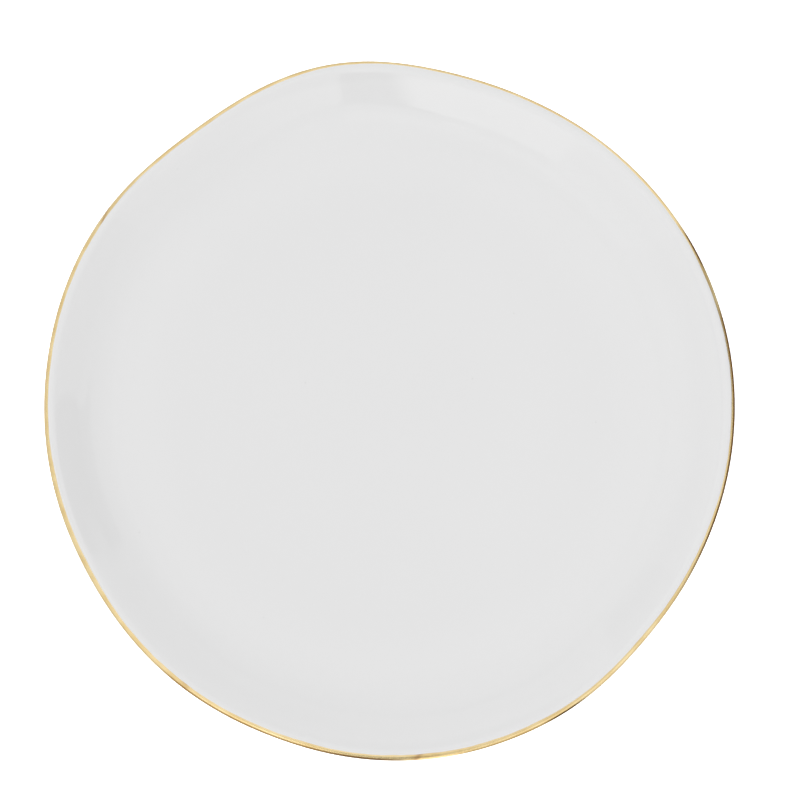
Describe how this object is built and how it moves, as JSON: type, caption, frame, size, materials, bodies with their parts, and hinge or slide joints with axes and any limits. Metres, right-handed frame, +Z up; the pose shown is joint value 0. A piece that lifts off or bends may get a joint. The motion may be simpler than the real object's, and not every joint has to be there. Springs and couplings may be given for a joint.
{
  "type": "dinner plate",
  "caption": "Round coupe dinner plate in white glazed porcelain with a hand-shaped, gently wavy rim and a thin gilt line along its lip.",
  "frame": {"origin": "on the plate's axis, in the plane that the foot ring stands on", "axes": "+Z up, out of the plate's face; +X and +Y across the plate, with the rim's largest swell about 10 degrees past +Y"},
  "size_m": [0.2648, 0.268, 0.0209],
  "materials": {
    "bisque": "unglazed, fine-grained and matte",
    "white_glaze": "glossy white glaze with a very slight orange peel and a few pin-point specks",
    "gilding": "bright fired gold, brushed on by hand, with fine streaks along the brush and a wandering inner edge"
  },
  "bodies": {
    "root": {"porcelain_body": "bisque", "glaze_coat": "white_glaze", "base_glaze": "white_glaze", "gold_rim_band": "gilding"}
  },
  "joints": []
}
